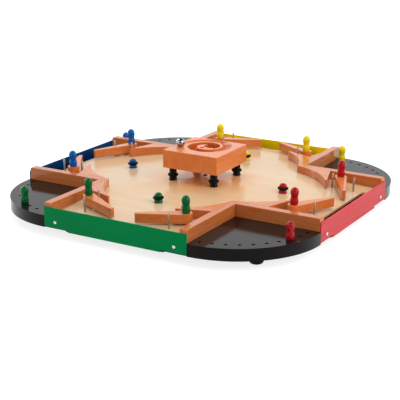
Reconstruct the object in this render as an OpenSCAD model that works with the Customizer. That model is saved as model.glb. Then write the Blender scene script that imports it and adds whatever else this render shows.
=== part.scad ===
// Tabletop pinball game for four players. The origin is on the table under the middle of the game,
// +Z is up, and the players sit at -Y (green), +X (red), +Y (yellow) and -X (blue).
// Each player's place is drawn once, for the player at -Y, and turned by quarter turns.
// What stands on the playing surface is drawn square to the sloped face that it stands on.

/* [Boards] */
// Width of the game, from panel face to panel face
table_w = 680; // [650:1:760]
// Length of each coloured side panel
panel_len = 320; // [312:1:340]
// Thickness of the base board
base_t = 24; // [20:0.5:30]
// Thickness of the playing board at its middle
field_mid_t = 17; // [12:0.1:20]
// Thickness of the playing board at the panels
field_edge_t = 3; // [1.5:0.1:5]
// Height of the rubber feet
foot_h = 19.5; // [12:0.5:26]
// Diameter of a foot at its top
foot_d = 29; // [24:0.5:32]
// Place of each foot, from both middle lines
foot_at = 258; // [230:1:265]
// Diameter of a foot screw
foot_screw_d = 4; // [3.5:0.5:5]
// Diameter of its head
foot_screw_head_d = 8; // [7:0.5:10]
// Height of its head
foot_screw_head_h = 3; // [2:0.1:4]
// Depth of a foot screw in the base board
foot_screw_depth = 14; // [8:0.5:18]
// Depth of the recess in a foot that holds its screw's head
foot_recess = 6; // [4:0.5:10]

/* [Side panels] */
// Thickness of the panel metal
panel_t = 2.5; // [1.5:0.1:4]
// Rise of the panel's top edge above the base board
panel_rise = 18; // [12:0.1:22]
// Height of the panel's lower edge above the base board's underside
panel_lift = 2.6; // [1:0.1:6]
// Width of the lower tongue that hides the drain slot
tongue_w = 208; // [190:1:230]
// Distance of a panel screw from the panel's end
panel_screw_in = 26.4; // [14:0.1:50]
// Height of a panel screw above the base board's underside
panel_screw_h = 14; // [9:0.1:16]
// Head diameter of a panel screw
panel_screw_d = 7; // [6:0.1:9]
// Height of its domed head
panel_screw_dome = 2.2; // [1.5:0.1:3]
// Diameter of its shank
panel_shank_d = 3.5; // [3:0.1:4.5]
// Depth of the shank in the base board
panel_screw_depth = 16; // [10:0.5:20]

/* [Drain slots] */
// Length of a drain slot
slot_len = 208; // [150:1:230]
// Width of a drain slot
slot_w = 25.5; // [20.5:0.5:30]
// Radius of a drain slot's two inner corners
slot_r = 9.5; // [4:0.5:10]
// Thickness of the plate that closes the slot from below
drain_plate_t = 2; // [1:0.1:3]
// Overlap of that plate round the slot
drain_plate_lap = 6; // [4:0.5:12]

/* [Rails and wedges] */
// Width of a rail
rail_w = 16.5; // [12:0.1:20]
// Height of a rail above the base board
rail_h = 26.1; // [22:0.1:32]
// Radius of a rail's top corner at the panel, and of the inner corner where two rails meet
rail_r = 4; // [1:0.1:6]
// How far the round bay between two wedges would reach behind the rails' inner faces
bay_over = 4.4; // [2:0.1:6]
// Distance from the corner of two rails to the place where the bay's round edge starts
bay_start = 5.4; // [4.5:0.1:8]
// Distance of a wedge's tip from the bay's middle line
wedge_tip_s = 76.7; // [70:0.1:90]
// Width of a wedge's tip
wedge_tip_t = 4.5; // [2:0.1:8]
// How far a wedge's front face falls back on its way to the rail
wedge_back = 21.5; // [10:0.5:30]

/* [Flippers] */
// Distance of a flipper's pivot from the player's middle line
flip_s = 86.5; // [84:0.1:92]
// Distance from the tip of a wedge out to a flipper's pivot, along the slope
flip_behind = 28; // [26:0.1:32]
// Distance from the pivot to the knob
knob_arm = 27.5; // [24:0.1:28]
// Distance from the knob to the flipper's tip
flip_len = 96; // [90:0.5:102]
// Radius of the flipper's round end
flip_end_r = 12; // [11:0.1:12]
// Width of the flipper's tip
flip_tip_w = 8; // [6:0.1:12]
// Thickness of the flipper bar
flip_h = 18.4; // [16:0.1:22]
// Height of the washer that carries the bar above the board
flip_gap = 3.4; // [2:0.1:5]
// Angle of the flipper at rest, tip towards the player, in degrees
flip_rest = 27.2; // [0:0.1:30]
// Diameter of the pivot pin
pivot_d = 6; // [5:0.1:8]
// Length of the pivot pin inside the bar
pivot_up = 12; // [8:0.5:14]
// Running clearance round a pivot pin and a score peg's stem, on the radius
running_gap = 0.05; // [0.02:0.01:0.1]
// Diameter of a washer
pivot_washer_d = 14; // [11:0.5:18]

/* [Stop pins] */
// Diameter of a stop pin
stop_d = 4; // [3.5:0.1:4.5]
// Height of a stop pin above the board
stop_rise = 30; // [24:0.5:36]
// Offset of the stop pins from the pivot, away from the middle line
stop_out = 8.9; // [8:0.1:10]
// Offset of the stop pins from the pivot, towards and away from the player
stop_apart = 23.5; // [23.5:0.1:24.5]
// Depth of a pin in the boards, below the playing surface
pin_depth = 14; // [10:0.5:16]

/* [Pegs and knobs] */
// Height of a peg or knob
peg_h = 34.2; // [30:0.1:40]
// Diameter of its foot
peg_base_d = 15.5; // [14:0.1:17]
// Diameter of its body
peg_body_d = 16.4; // [16:0.1:18.5]
// Diameter of its waist
peg_waist_d = 13.7; // [11:0.1:15]
// Diameter of its head
peg_head_d = 16.5; // [14:0.1:17.5]
// Diameter of its stem
peg_stem_d = 6.9; // [5:0.1:8]
// Length of its stem
peg_stem_l = 12; // [8:0.5:14]

/* [Score holes] */
// Number of score holes in each corner
score_count = 10; // [6:1:10]
// Distance of the score holes from the base board's round edge
score_in = 21; // [16:0.5:30]
// Angle between two score holes, in degrees
score_step = 8.93; // [8:0.01:9.2]
// Depth of a score hole
score_depth = 15; // [14.5:0.5:17]

/* [Bumpers] */
// Distance of a bumper from the middle of the game, along the slope
bumper_at = 182; // [150:0.1:200]
// Height of a bumper
bumper_h = 20; // [18:0.1:26]
// Diameter of a bumper's foot
bumper_d = 17.5; // [16:0.1:20]
// Diameter of a bumper's head
bumper_head_d = 15; // [13:0.1:17]
// Diameter of a rubber ring's section
ring_t = 5.5; // [4:0.1:6]
// Inside diameter of a rubber ring, which is also that of its groove
ring_in_d = 11; // [9.5:0.1:12]
// Height of the bumper's ring above the board
bumper_ring_z = 9.4; // [8.5:0.1:11]

/* [Centre block] */
// Side length of the block
block_w = 128.2; // [118:0.1:140]
// Height of the block
block_h = 38.1; // [30:0.1:50]
// Space between the base board and the block
block_z = 42.4; // [38:0.1:50]
// Place of each leg, from both middle lines
leg_at = 48.8; // [40:0.1:50]
// Diameter of a leg at its foot
leg_d = 17.2; // [15:0.1:20]
// Height of a leg's ring above the leg's foot
leg_ring_z = 11.4; // [10.5:0.1:15]
// Diameter of the spigots at both ends of a leg, and below a bumper
spigot_d = 8; // [6:0.1:9]
// Length of a spigot
spigot_l = 12; // [8:0.5:14]
// Radius at which the spiral track starts, where the ball rests
track_r = 55.2; // [50:0.1:56]
// How much that radius shrinks in one turn
track_pitch = 24.7; // [23:0.1:27]
// Number of turns of the track
track_turns = 1.65; // [1.5:0.01:1.7]
// Depth of the track at its start
track_start_depth = 1.5; // [1:0.1:3]
// How much deeper the track gets in one turn
track_fall = 15.5; // [8:0.1:18]
// Room beside the ball in the track, on the radius
track_gap = 0.3; // [0.2:0.05:0.6]
// Gap under the ball at its resting place
ball_lift = 0.45; // [0.4:0.05:0.8]
// Diameter of the well at the track's end
well_d = 30; // [26:0.5:32]
// Step from the track's end down to the well's floor
well_step = 0.5; // [0.2:0.1:2]
// Diameter of the hole that the ball falls through
drop_d = 22; // [20.5:0.1:24]
// Diameter of the small hole in the island inside the track
island_hole_d = 10; // [5:0.1:11]
// Depth of that hole
island_hole_depth = 16; // [8:0.5:20]

/* [Ball and middle screw] */
// Diameter of the steel ball
ball_d = 19.05; // [18:0.05:19.2]
// Diameter of the cup washer
cup_d = 17; // [14:0.5:20]
// Height of the cup washer
cup_h = 2.2; // [1.5:0.1:3]
// Diameter of the middle screw's head
centre_head_d = 9.4; // [8:0.1:11]
// Height of its domed head
centre_head_h = 2.2; // [1.5:0.1:3]
// Diameter of its shank
centre_shank_d = 4.5; // [4:0.1:6]
// Depth of its tip in the boards, below the cup washer
centre_depth = 24; // [16:0.5:30]

/* [Hidden] */
COLOURS = ["green", "red", "yellow", "blue"];
SIDES = ["left", "right"];
PAINT = ["#00753c", "#c4162c", "#d9b400", "#0a4f9c"];
WOOD = "#c8703f";
MAPLE = "#e9cda6";
BLACK = "#1f1f1f";
STEEL = "#c9ccd0";
PALE = "#e8dcc4";
// Score hole that holds each colour's peg, counted from that colour's own panel
PEG_HOLES = [3, 2, 0, 0];

ROUND = 48;
BIG_ROUND = 256;
half_w = table_w / 2;
field_half = half_w - panel_t;
corner_r = (table_w - panel_len) / 2;
rail_in = panel_len / 2 - rail_w;
bay_r = rail_in + bay_over;
bay_d = rail_in + bay_start - sqrt(bay_r * bay_r - rail_in * rail_in);
wedge_tip_d = bay_d + sqrt(bay_r * bay_r - wedge_tip_s * wedge_tip_s) + wedge_tip_t;
flip_d = wedge_tip_d + flip_behind;
base_top = foot_h + base_t;
rail_top = base_top + rail_h;
apex_z = base_top + field_mid_t;
slope = atan((field_mid_t - field_edge_t) / field_half);
block_bottom = base_top + block_z;
block_top = block_bottom + block_h;
score_r = corner_r - score_in;
score_first = 45 - score_step * (score_count - 1) / 2;
tongue_drop = drain_plate_t;
// Gap of a glued or pressed joint, on the radius
glue_gap = 0.02;
// Gap at each end of a panel
panel_gap = 0.2;
// Gap that lets a turned foot or washer into its flat seat
seat_gap = 0.2;
ring_r = (ring_in_d + ring_t) / 2;
groove_half = ring_t / 2 + 0.1;
leg_seat = apex_z - (leg_at + leg_d / 2) * tan(slope) - 0.1;
leg_l = block_bottom - leg_seat;
cup_seat = apex_z - cup_d / 2 * tan(slope) - 0.1;
far = 2 * table_w;

FLIPPER_NODES = [for (c = COLOURS, s = SIDES) str("flipper_", c, "_", s)];
KNOB_NODES = [for (c = COLOURS, s = SIDES) str("knob_", c, "_", s)];
RAIL_NODES = [for (c = COLOURS, s = SIDES) str("rail_", c, "_", s)];
WEDGE_NODES = [for (c = COLOURS, s = SIDES) str("wedge_", c, "_", s)];
PANEL_NODES = [for (c = COLOURS) str("panel_", c)];
BUMPER_NODES = [for (c = COLOURS) str("bumper_", c)];
PEG_NODES = [for (c = COLOURS) str("peg_", c)];
SINGLE_NODES = [
    "base_board", "playfield_board", "panel_screws", "drain_plates", "feet", "foot_screws",
    "pivot_pins", "pivot_washers", "stop_pins", "bumper_rings", "block_legs", "leg_rings",
    "centre_block", "cup_washer", "centre_screw", "ball"
];

// Placing

// Turns a shape drawn for the player at -Y to player k
module player(k) {
    rotate([0, 0, 90 * k]) children();
}

// Lays a shape on player k's sloped face, its +Z square to the face
module on_face(k) {
    player(k) translate([0, 0, apex_z]) rotate([slope, 0, 0]) children();
}

// Puts a shape at a flipper's pivot, its +X along the bar towards the tip
module at_pivot(k, side) {
    turn = side > 0 ? 180 + flip_rest : -flip_rest;
    on_face(k) translate([side * flip_s, -flip_d, 0]) rotate([0, 0, turn]) children();
}

module at_corners(distance) {
    for (x = [-1, 1], y = [-1, 1]) translate([x * distance, y * distance, 0]) children();
}

// Everything below player k's sloped face
module below_face(k) {
    on_face(k) translate([-far / 2, -far / 2, -far]) cube(far);
}

// Centre of a score hole in the corner at the player's left, counted from the player's panel
function score_place(i) =
    let (a = score_first + score_step * i)
    [-panel_len / 2 - score_r * sin(a), -panel_len / 2 - score_r * cos(a)];

function ease(from, to, t) = from + (to - from) * (1 - cos(180 * t)) / 2;

// Shapes that more than one piece shares

module rod(d, from, to) {
    translate([0, 0, from]) cylinder(h = to - from, r = d / 2, $fn = ROUND);
}

// The square corner area behind two rails' inner faces, its inner corner rounded
module corner_area(k) {
    rotate(90 * k) translate([rail_in, rail_in]) {
        difference() {
            square(field_half);
            square(rail_r);
        }
        translate([rail_r, rail_r]) circle(r = rail_r, $fn = ROUND);
    }
}

module base_outline() {
    difference() {
        union() {
            square([panel_len, table_w], center = true);
            square([table_w, panel_len], center = true);
            at_corners(panel_len / 2) circle(r = corner_r, $fn = BIG_ROUND);
        }
        for (k = [0:3]) {
            rotate(90 * k) translate([-panel_len / 2, -half_w - panel_t]) square([panel_len, 2 * panel_t]);
        }
    }
}

// A drain slot is open to the panel, and its two inner corners are round
module slot_outline(lap) {
    half = slot_len / 2 + lap;
    r = slot_r + lap;
    outer = -field_half - 1;
    inner = -field_half + slot_w + lap;
    translate([-half, outer]) square([2 * half, inner - r - outer]);
    translate([r - half, outer]) square([2 * (half - r), inner - outer]);
    for (x = [-1, 1]) translate([x * (half - r), inner - r]) circle(r = r, $fn = ROUND);
}

module panel_screw_place(side) {
    translate([side * (panel_len / 2 - panel_screw_in), -half_w, foot_h + panel_screw_h])
        rotate([-90, 0, 0]) children();
}

// A turned peg: foot, body, waist and round head, from z = 0 up, with its stem below
module peg_shape() {
    body_z = 0.26 * peg_h;
    waist_z = 0.44 * peg_h;
    head_z = 0.66 * peg_h;
    quarters = [0.25, 0.5, 0.75, 1];
    outline = concat(
        [[0, -peg_stem_l], [peg_stem_d / 2, -peg_stem_l], [peg_stem_d / 2, 0], [peg_base_d / 2 - 0.6, 0]],
        [for (t = [0.1, 0.5, 1]) [ease(peg_base_d, peg_body_d, t) / 2, body_z * t]],
        [for (t = quarters) [ease(peg_body_d, peg_waist_d, t) / 2, body_z + (waist_z - body_z) * t]],
        [for (t = quarters) [ease(peg_waist_d, peg_head_d, t) / 2, waist_z + (head_z - waist_z) * t]],
        [for (a = [18:18:90]) [peg_head_d / 2 * cos(a), head_z + (peg_h - head_z) * sin(a)]]
    );
    rotate_extrude($fn = ROUND) polygon(outline);
}

module rubber_ring() {
    rotate_extrude($fn = ROUND) translate([ring_r, 0]) circle(r = ring_t / 2, $fn = 24);
}

// Holes that pins, spigots and screws need in both boards
module board_holes() {
    for (k = [0:3]) {
        on_face(k) translate([0, -bumper_at, 0]) rod(spigot_d + 2 * glue_gap, -spigot_l, 1);
        for (side = [-1, 1]) {
            at_pivot(k, side) rod(pivot_d + 2 * glue_gap, -pin_depth, 1);
            at_stops(k, side) rod(stop_d + 2 * glue_gap, -pin_depth, 1);
        }
        player(k) linear_extrude(far) slot_outline(0);
    }
    at_corners(leg_at) {
        rod(spigot_d + 2 * glue_gap, leg_seat - spigot_l, leg_seat + 1);
        rod(leg_d + 2 * seat_gap, leg_seat, apex_z + 1);
    }
    rod(centre_shank_d + 2 * glue_gap, cup_seat - centre_depth, apex_z + 1);
    rod(cup_d + 2 * seat_gap, cup_seat, apex_z + 1);
}

module at_stops(k, side) {
    for (way = [-1, 1]) {
        on_face(k) translate([side * (flip_s + stop_out), -flip_d + way * stop_apart, 0]) children();
    }
}

// Boards, plates and feet

module base_board() {
    color(BLACK) difference() {
        translate([0, 0, foot_h]) linear_extrude(base_t) base_outline();
        board_holes();
        at_corners(foot_at) rod(foot_screw_d + 2 * glue_gap, foot_h - 1, foot_h + foot_screw_depth);
        for (k = [0:3]) player(k) {
            for (i = [0:score_count - 1]) {
                translate(score_place(i)) rod(peg_stem_d + 2 * running_gap, base_top - score_depth, far);
            }
            for (side = [-1, 1]) {
                panel_screw_place(side) rod(panel_shank_d + 2 * glue_gap, 0, panel_t + panel_screw_depth);
            }
        }
    }
}

module playfield_board() {
    color(MAPLE) difference() {
        intersection() {
            translate([0, 0, base_top]) linear_extrude(field_mid_t + 1) difference() {
                square(2 * field_half, center = true);
                for (k = [0:3]) corner_area(k);
            }
            below_face(0);
            below_face(1);
            below_face(2);
            below_face(3);
        }
        board_holes();
    }
}

module drain_plates() {
    // The plate's outer edge is cut off where it meets the back of the panel's tongue
    color(BLACK) for (k = [0:3]) player(k) translate([0, 0, foot_h - drain_plate_t]) {
        linear_extrude(drain_plate_t) difference() {
            slot_outline(drain_plate_lap);
            translate([-half_w, -field_half - half_w]) square([table_w, half_w]);
        }
    }
}

module feet() {
    color(BLACK) at_corners(foot_at) difference() {
        rotate_extrude($fn = ROUND) polygon([
            [0, 0], [foot_d / 2 - 5.2, 0], [foot_d / 2 - 2.6, 1.4], [foot_d / 2 - 0.8, 5],
            [foot_d / 2, 10], [foot_d / 2, foot_h], [0, foot_h]
        ]);
        rod(foot_screw_head_d + 1, -1, foot_recess);
        rod(foot_screw_d + 2 * glue_gap, 0, foot_h + 1);
    }
}

module foot_screws() {
    color(STEEL) at_corners(foot_at) {
        rod(foot_screw_head_d, foot_recess - foot_screw_head_h, foot_recess);
        rod(foot_screw_d, foot_recess, foot_h + foot_screw_depth);
    }
}

// Side panels

module panel(k) {
    color(PAINT[k]) player(k) difference() {
        translate([0, -field_half, 0]) rotate([90, 0, 0]) linear_extrude(panel_t) {
            clear_len = panel_len - 2 * panel_gap;
            translate([-clear_len / 2, foot_h + panel_lift]) {
                square([clear_len, base_t - panel_lift + panel_rise]);
            }
            translate([-tongue_w / 2, foot_h - tongue_drop]) {
                square([tongue_w, tongue_drop + panel_lift + 1]);
            }
        }
        for (side = [-1, 1]) panel_screw_place(side) rod(panel_shank_d + 2 * glue_gap, -1, panel_t + 1);
    }
}

module panel_screws() {
    color(STEEL) for (k = [0:3], side = [-1, 1]) player(k) panel_screw_place(side) {
        rotate_extrude($fn = ROUND) polygon([
            [0, -panel_screw_dome], [0.3 * panel_screw_d, -0.9 * panel_screw_dome],
            [0.45 * panel_screw_d, -0.5 * panel_screw_dome], [panel_screw_d / 2, 0],
            [panel_shank_d / 2, 0], [panel_shank_d / 2, panel_t + panel_screw_depth - 3],
            [0, panel_t + panel_screw_depth]
        ]);
    }
}

// Rails and wedges

// The right rail runs on to the corner where two rails meet, the left rail butts against it
module rail(k, side) {
    color(WOOD) player(k) difference() {
        translate([0, 0, base_top]) linear_extrude(rail_h) intersection() {
            corner_area(side > 0 ? 3 : 2);
            start = side > 0 ? rail_in : rail_in + rail_w;
            translate([side > 0 ? rail_in : -rail_in - rail_w, -field_half]) {
                square([rail_w, field_half - start]);
            }
        }
        translate([-half_w, -field_half, rail_top - rail_r]) rotate([90, 0, 90]) linear_extrude(table_w) {
            difference() {
                translate([-1, 0]) square([rail_r + 1, rail_r + 1]);
                translate([rail_r, 0]) circle(r = rail_r, $fn = ROUND);
            }
        }
    }
}

module wedge(k, side) {
    color(WOOD) difference() {
        player(k) mirror([side > 0 ? 0 : 1, 0, 0]) translate([0, 0, base_top]) linear_extrude(rail_h) {
            difference() {
                polygon([
                    [rail_in, -bay_d], [wedge_tip_s, -bay_d], [wedge_tip_s, -wedge_tip_d],
                    [rail_in, wedge_back - wedge_tip_d]
                ]);
                translate([0, -bay_d]) circle(r = bay_r, $fn = BIG_ROUND);
            }
        }
        below_face(k);
    }
}

// Flippers

module flipper(k, side) {
    lean = asin((flip_end_r - flip_tip_w / 2) / flip_len);
    tip_half = (flip_end_r - flip_len * sin(lean)) / cos(lean);
    first = 90 - lean;
    steps = 24;
    outline = concat(
        [for (i = [0:steps]) let (a = first + (360 - 2 * first) * i / steps) flip_end_r * [cos(a), sin(a)]],
        [[flip_len, -tip_half], [flip_len, tip_half]]
    );
    color(WOOD) at_pivot(k, side) difference() {
        translate([-knob_arm, 0, flip_gap]) linear_extrude(flip_h) polygon(outline);
        rod(pivot_d + 2 * running_gap, 0, flip_gap + pivot_up + 0.3);
        translate([-knob_arm, 0, 0]) {
            rod(peg_stem_d + 2 * glue_gap, flip_gap + flip_h - peg_stem_l - 0.3, flip_gap + flip_h + 1);
        }
    }
}

module knob(k, side) {
    color(PAINT[k]) at_pivot(k, side) translate([-knob_arm, 0, flip_gap + flip_h]) peg_shape();
}

module pivot_pins() {
    color(STEEL) for (k = [0:3], side = [-1, 1]) {
        at_pivot(k, side) rod(pivot_d, -pin_depth, flip_gap + pivot_up);
    }
}

module pivot_washers() {
    color(PALE) for (k = [0:3], side = [-1, 1]) at_pivot(k, side) difference() {
        rod(pivot_washer_d, 0, flip_gap);
        rod(pivot_d + 2 * running_gap, -1, flip_gap + 1);
    }
}

module stop_pins() {
    color(STEEL) for (k = [0:3], side = [-1, 1]) at_stops(k, side) {
        rod(stop_d, -pin_depth, stop_rise - 0.6);
        translate([0, 0, stop_rise - 0.6]) cylinder(h = 0.6, r1 = stop_d / 2, r2 = stop_d / 2 - 0.5, $fn = ROUND);
    }
}

module peg(k) {
    color(PAINT[k]) player(k) translate(score_place(PEG_HOLES[k])) translate([0, 0, base_top]) peg_shape();
}

// Bumpers

module bumper(k) {
    groove_r = ring_in_d / 2;
    head_z = bumper_ring_z + groove_half;
    dome_z = head_z + 2.6;
    outline = concat(
        [
            [0, -spigot_l], [spigot_d / 2, -spigot_l], [spigot_d / 2, 0], [bumper_d / 2 - 0.4, 0],
            [bumper_d / 2, 1.2], [bumper_d / 2 - 0.6, 3.2],
            [bumper_head_d / 2 - 0.4, bumper_ring_z - groove_half - 0.8],
            [bumper_head_d / 2 - 0.8, bumper_ring_z - groove_half],
            [groove_r, bumper_ring_z - groove_half], [groove_r, head_z],
            [bumper_head_d / 2 - 0.5, head_z], [bumper_head_d / 2, head_z + 0.8]
        ],
        [for (a = [0:18:90]) [bumper_head_d / 2 * cos(a), dome_z + (bumper_h - dome_z) * sin(a)]]
    );
    color(PAINT[k]) on_face(k) translate([0, -bumper_at, 0]) rotate_extrude($fn = ROUND) polygon(outline);
}

module bumper_rings() {
    color(BLACK) for (k = [0:3]) on_face(k) translate([0, -bumper_at, bumper_ring_z]) rubber_ring();
}

// Centre block and its legs

// The track is cut with a round-nosed tool that dips in just before the ball's resting place and
// then sinks steadily as it winds in. Its angles run clockwise from that place, seen from above.
track_centre = [0.5, 6];
track_start = 210.5;
track_dip = -14;
track_end = 360 * track_turns;
track_step = 12;
track_half = ball_d / 2 + track_gap;
track_lid = block_top + track_half + 1;
well_at = [8, 11];
island_hole_at = [-3.5, -7];

function track_radius(t) = track_r - track_pitch * t / 360;
function track_sink(t) =
    t < 0 ? track_start_depth * (1 - t / track_dip) : track_start_depth + track_fall * t / 360;
function track_point(t, across) =
    track_centre + (track_radius(t) + across) * [cos(track_start - t), sin(track_start - t)];

// Outline of the tool at one place of the track: up one side, round the nose and up the other
function track_section(t) =
    let (axis_z = block_top - track_sink(t) + track_half)
    concat(
        [concat(track_point(t, -track_half), track_lid)],
        [for (a = [180:22.5:360]) concat(track_point(t, track_half * cos(a)), axis_z + track_half * sin(a))],
        [concat(track_point(t, track_half), track_lid)]
    );

module track_cut() {
    steps = ceil(track_end / track_step);
    sections = [track_section(track_dip), for (i = [0:steps]) track_section(track_end * i / steps)];
    n = len(sections[0]);
    last = steps + 1;
    polyhedron(
        points = [for (section = sections) each section],
        faces = [
            [for (j = [0:n - 1]) j],
            [for (j = [n - 1:-1:0]) last * n + j],
            for (i = [1:last], j = [0:n - 1])
                let (here = (i - 1) * n, next = i * n, k = (j + 1) % n)
                each [[here + j, next + j, here + k], [here + k, next + j, next + k]]
        ]
    );
}

module centre_block() {
    color(WOOD) difference() {
        translate([-block_w / 2, -block_w / 2, block_bottom]) cube([block_w, block_w, block_h]);
        track_cut();
        translate(well_at) rod(well_d, block_top - track_sink(track_end) - well_step, block_top + 1);
        translate(well_at) rod(drop_d, block_bottom - 1, block_top);
        translate(island_hole_at) rod(island_hole_d, block_top - island_hole_depth, block_top + 1);
        at_corners(leg_at) rod(spigot_d + 2 * glue_gap, block_bottom - 1, block_bottom + spigot_l);
    }
}

module block_legs() {
    r = leg_d / 2;
    low = leg_ring_z - groove_half;
    high = leg_ring_z + groove_half;
    color(BLACK) at_corners(leg_at) translate([0, 0, leg_seat]) rotate_extrude($fn = ROUND) polygon([
        [0, -spigot_l], [spigot_d / 2, -spigot_l], [spigot_d / 2, 0], [r, 0], [r, 2.6],
        [r - 0.8, 4.6], [r - 0.8, low - 1.6], [r - 0.3, low - 0.8], [r - 0.8, low],
        [ring_in_d / 2, low], [ring_in_d / 2, high], [r - 1.2, high], [r - 0.8, high + 1],
        [r - 0.8, leg_l], [spigot_d / 2, leg_l], [spigot_d / 2, leg_l + spigot_l - 0.2],
        [0, leg_l + spigot_l - 0.2]
    ]);
}

module leg_rings() {
    color(BLACK) at_corners(leg_at) translate([0, 0, leg_seat + leg_ring_z]) rubber_ring();
}

module ball() {
    color(STEEL) translate(concat(track_point(0, 0), block_top - track_sink(0) + ball_lift + ball_d / 2)) {
        sphere(r = ball_d / 2, $fn = 96);
    }
}

// Cup washer and screw at the middle of the board

module cup_washer() {
    color(PALE) translate([0, 0, cup_seat]) rotate_extrude($fn = ROUND) polygon([
        [centre_shank_d / 2 + glue_gap, 0], [cup_d / 2, 0], [cup_d / 2, 0.6], [cup_d / 2 - 2, cup_h],
        [centre_head_d / 2, cup_h], [centre_shank_d / 2 + glue_gap, cup_h]
    ]);
}

module centre_screw() {
    head = centre_head_d / 2;
    color(BLACK) translate([0, 0, cup_seat]) rotate_extrude($fn = ROUND) polygon(concat(
        [[0, -centre_depth], [centre_shank_d / 2, 3 - centre_depth], [centre_shank_d / 2, cup_h]],
        [for (a = [0:15:90]) [head * cos(a), cup_h + centre_head_h * sin(a)]]
    ));
}

// Drawing each node

base_board();
playfield_board();
panel_screws();
drain_plates();
feet();
foot_screws();
pivot_pins();
pivot_washers();
stop_pins();
bumper_rings();
block_legs();
leg_rings();
centre_block();
cup_washer();
centre_screw();
ball();
for (k = [0:3]) {
    panel(k);
    bumper(k);
    peg(k);
    for (s = [0:1]) {
        rail(k, 2 * s - 1);
        wedge(k, 2 * s - 1);
        flipper(k, 2 * s - 1);
        knob(k, 2 * s - 1);
    }
}
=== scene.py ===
import math

import bpy
from bpy.props import FloatProperty, FloatVectorProperty, IntProperty, PointerProperty
from mathutils import Matrix, Vector


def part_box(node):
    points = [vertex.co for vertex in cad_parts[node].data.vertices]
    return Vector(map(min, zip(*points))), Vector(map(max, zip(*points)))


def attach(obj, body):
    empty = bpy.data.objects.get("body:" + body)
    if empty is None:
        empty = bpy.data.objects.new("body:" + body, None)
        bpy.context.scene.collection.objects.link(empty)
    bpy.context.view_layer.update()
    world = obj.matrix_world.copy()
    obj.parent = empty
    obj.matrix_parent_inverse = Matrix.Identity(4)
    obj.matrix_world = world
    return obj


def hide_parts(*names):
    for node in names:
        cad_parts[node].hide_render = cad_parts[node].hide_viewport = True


bl_info = {
    "name": "Tabletop pinball game",
    "version": (1, 0, 0),
    "blender": (4, 5, 0),
    "location": "3D View > Sidebar > Pinball",
    "description": "Dresses the four-player tabletop pinball game on its packed frame",
    "category": "Object",
}

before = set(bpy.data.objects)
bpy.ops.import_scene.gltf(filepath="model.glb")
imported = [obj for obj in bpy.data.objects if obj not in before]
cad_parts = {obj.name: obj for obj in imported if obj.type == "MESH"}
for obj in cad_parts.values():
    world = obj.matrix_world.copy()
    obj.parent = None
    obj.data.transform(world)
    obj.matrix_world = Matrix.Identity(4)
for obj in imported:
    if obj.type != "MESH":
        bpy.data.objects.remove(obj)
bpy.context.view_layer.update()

MM = 0.001
COLOURS = ["green", "red", "yellow", "blue"]

# Heights above the table, in metres, read from the frame
BASE_BOTTOM, BASE_TOP = [corner.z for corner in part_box("base_board")]
BLOCK_BOTTOM, BLOCK_TOP = [corner.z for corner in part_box("centre_block")]

# The playing board: its thickness at the middle and at the panels, and half its width
FIELD_MIDDLE = 17 * MM
FIELD_EDGE = 3 * MM
FIELD_HALF = 337.5 * MM
APEX = BASE_TOP + FIELD_MIDDLE
SLOPE = math.atan((FIELD_MIDDLE - FIELD_EDGE) / FIELD_HALF)

# Side panels: their faces' distance from the middle, their length and the places of their screws
HALF_WIDTH = 340 * MM
PANEL_LENGTH = 320 * MM
SCREW_OFFSET = 133.6 * MM
SCREW_HEIGHT = BASE_BOTTOM + 14 * MM

# Places on one player's face: offset from the middle line, distance from the middle of the game
BUMPER_DISTANCE = 182 * MM
PIVOT_OFFSET = 86.5 * MM
PIVOT_DISTANCE = 272.051 * MM

# Stop pins beside a pivot: outwards from it, and towards and away from the player
STOP_OUT = 8.9 * MM
STOP_APART = 23.5 * MM

# A flipper at rest: its angle, its knob's distance behind the pivot and its top above the board
REST_ANGLE = math.radians(27.2)
KNOB_ARM = 27.5 * MM
BAR_TOP = 21.8 * MM

# Score holes on an arc in each corner, in degrees, and the hole that holds each colour's peg
SCORE_RADIUS = 159 * MM
SCORE_COUNT = 10
SCORE_STEP = 8.93
SCORE_FIRST = 45 - SCORE_STEP * (SCORE_COUNT - 1) / 2
PEG_HOLES = [3, 2, 0, 0]

# Distance of the block's legs and of the rubber feet from the middle, along X and along Y
LEG_PLACE = 48.8 * MM
FOOT_PLACE = 258 * MM

# Heights of the rubber rings' middles above the feet of the bumpers and of the legs
RING_ON_BUMPER = 9.4 * MM
RING_ON_LEG = 11.4 * MM

# Dowels that hold the turned pieces in the boards, as (radius, height) in millimetres
DOWEL_LENGTH = 12
DOWEL = [(3.7, -DOWEL_LENGTH), (4, -11.6), (4, 0)]
PEG_STEM = [(3.1, -DOWEL_LENGTH), (3.45, -11.4), (3.45, 0)]

# The wedges' grain leans from the middle line by this many degrees
WEDGE_LEAN = 52

# Points closer than this are one point
WELD = 0.01 * MM
# A face looks down when its normal's Z is below this
DOWNWARD = -0.9


# Working on meshes as by hand

def only(*objects):
    """Selects these objects and nothing else."""
    if bpy.context.object and bpy.context.object.mode != "OBJECT":
        bpy.ops.object.mode_set(mode="OBJECT")
    bpy.ops.object.select_all(action="DESELECT")
    for item in objects:
        item.select_set(True)
    bpy.context.view_layer.objects.active = objects[0] if objects else None


def edit(piece):
    """Opens a piece in edit mode with all of it selected."""
    only(piece)
    bpy.ops.object.mode_set(mode="EDIT")
    bpy.ops.mesh.select_all(action="SELECT")


def leave():
    bpy.ops.object.mode_set(mode="OBJECT")


def pick(piece, parts, chosen):
    """Opens a piece in edit mode with only its chosen "vertices" or "polygons" selected."""
    edit(piece)
    bpy.ops.mesh.select_all(action="DESELECT")
    leave()
    for part in getattr(piece.data, parts):
        part.select = chosen(part)
    bpy.ops.object.mode_set(mode="EDIT")


def smooth(piece, angle=40):
    """Shades a piece smooth, with a crease wherever its faces turn by more than the angle, in degrees."""
    only(piece)
    bpy.ops.object.shade_smooth_by_angle(angle=math.radians(angle))


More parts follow.
